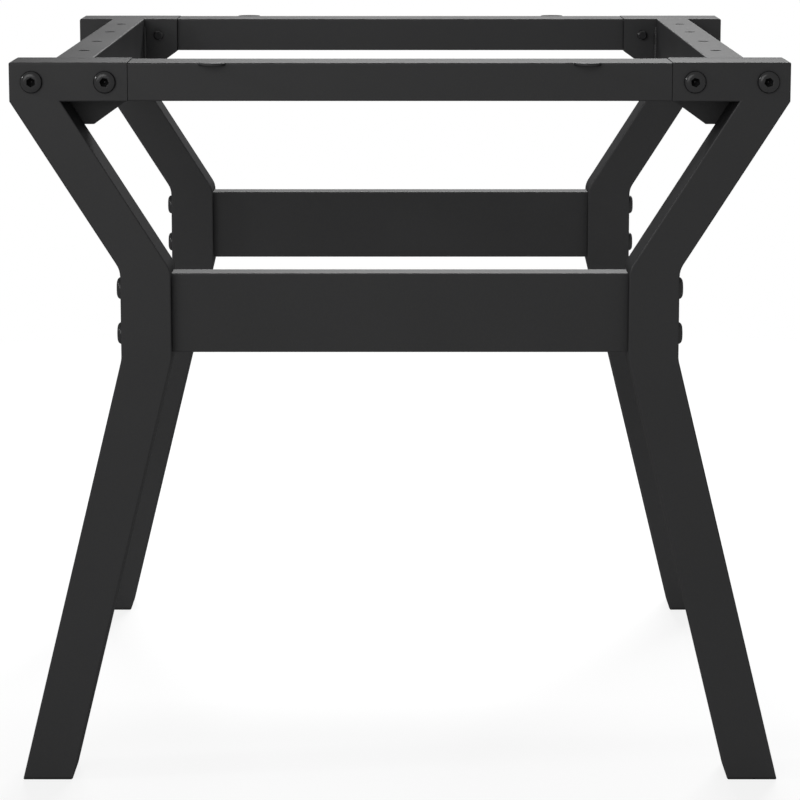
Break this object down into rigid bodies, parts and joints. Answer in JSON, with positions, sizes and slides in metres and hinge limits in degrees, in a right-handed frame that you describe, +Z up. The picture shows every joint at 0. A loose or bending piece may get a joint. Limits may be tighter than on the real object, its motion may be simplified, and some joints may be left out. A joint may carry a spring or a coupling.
{
  "type": "coffee table base",
  "caption": "Black steel coffee table base: Y-shaped end frames of square tube with crossbars, joined by side rails that carry the table top.",
  "frame": {"origin": "on the floor, under the middle of the base", "axes": "+Z up; X along the end frames; front frame towards -Y"},
  "size_m": [0.4, 0.4136, 0.38],
  "materials": {
    "powder_coat_black": "satin black powder coat on steel, with a very fine texture",
    "bolt_black": "black coated steel",
    "cap_plastic": "matte black moulded plastic"
  },
  "bodies": {
    "root": {"top_rail_front": "powder_coat_black", "crossbar_front": "powder_coat_black", "stub_bolts_front": "bolt_black", "waist_bolts_front": "bolt_black", "leg_front_left": "powder_coat_black", "foot_cap_front_left": "cap_plastic", "rail_sleeve_front_left": "powder_coat_black", "crossbar_plug_front_left": "powder_coat_black", "corner_plate_front_left": "powder_coat_black", "tab_front_left": "powder_coat_black", "leg_front_right": "powder_coat_black", "foot_cap_front_right": "cap_plastic", "rail_sleeve_front_right": "powder_coat_black", "crossbar_plug_front_right": "powder_coat_black", "corner_plate_front_right": "powder_coat_black", "tab_front_right": "powder_coat_black", "top_rail_rear": "powder_coat_black", "crossbar_rear": "powder_coat_black", "stub_bolts_rear": "bolt_black", "waist_bolts_rear": "bolt_black", "leg_rear_left": "powder_coat_black", "foot_cap_rear_left": "cap_plastic", "rail_sleeve_rear_left": "powder_coat_black", "crossbar_plug_rear_left": "powder_coat_black", "corner_plate_rear_left": "powder_coat_black", "tab_rear_left": "powder_coat_black", "leg_rear_right": "powder_coat_black", "foot_cap_rear_right": "cap_plastic", "rail_sleeve_rear_right": "powder_coat_black", "crossbar_plug_rear_right": "powder_coat_black", "corner_plate_rear_right": "powder_coat_black", "tab_rear_right": "powder_coat_black", "side_rail_left": "powder_coat_black", "side_rail_right": "powder_coat_black"}
  },
  "joints": []
}
